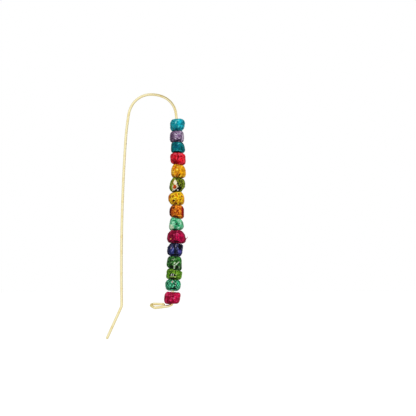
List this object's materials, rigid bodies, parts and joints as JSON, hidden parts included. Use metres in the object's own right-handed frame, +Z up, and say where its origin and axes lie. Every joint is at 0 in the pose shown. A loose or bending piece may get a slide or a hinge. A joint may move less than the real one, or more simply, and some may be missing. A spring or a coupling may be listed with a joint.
{
  "type": "beaded drop earring",
  "caption": "Long drop earring: cloth-covered beads threaded on a springy wire that arches over the ear, ends in a catch eye below the beads and has a bare leg and tail behind.",
  "frame": {"origin": "underside of the top of the wire's arch, where the ear carries it", "axes": "+X to the right in the picture, from the bare leg towards the beads; +Y away from the viewer; +Z up, along the beads"},
  "size_m": [0.0329, 0.0076, 0.1017],
  "materials": {
    "wire": "polished, plated in pale gold",
    "cloth_turquoise": "dyed cotton, wound and gathered",
    "cloth_mauve": "dyed cotton, wound and gathered",
    "cloth_dark_teal": "dyed cotton, wound and gathered",
    "cloth_crimson": "dyed cotton, wound and gathered",
    "cloth_mustard": "dyed cotton, wound and gathered",
    "cloth_olive_print": "printed cotton, wound and gathered",
    "cloth_yellow": "dyed cotton, wound and gathered",
    "cloth_rust_orange": "dyed cotton, wound and gathered",
    "cloth_mint": "printed cotton, wound and gathered",
    "cloth_magenta": "dyed cotton, wound and gathered",
    "cloth_navy": "printed cotton, wound and gathered",
    "cloth_leaf_green": "printed cotton, wound and gathered",
    "cloth_lime": "printed cotton, wound and gathered",
    "cloth_emerald": "woven check cotton, wound and gathered"
  },
  "bodies": {
    "root": {"ear_wire": "wire", "bead_01_turquoise": "cloth_turquoise", "bead_02_mauve": "cloth_mauve", "bead_03_dark_teal": "cloth_dark_teal", "bead_04_crimson": "cloth_crimson", "bead_05_mustard": "cloth_mustard", "bead_06_olive_print": "cloth_olive_print", "bead_07_yellow": "cloth_yellow", "bead_08_rust_orange": "cloth_rust_orange", "bead_09_mint": "cloth_mint", "bead_10_magenta": "cloth_magenta", "bead_11_navy": "cloth_navy", "bead_12_leaf_green": "cloth_leaf_green", "bead_13_lime": "cloth_lime", "bead_14_emerald": "cloth_emerald", "bead_15_magenta": "cloth_magenta"}
  },
  "joints": []
}
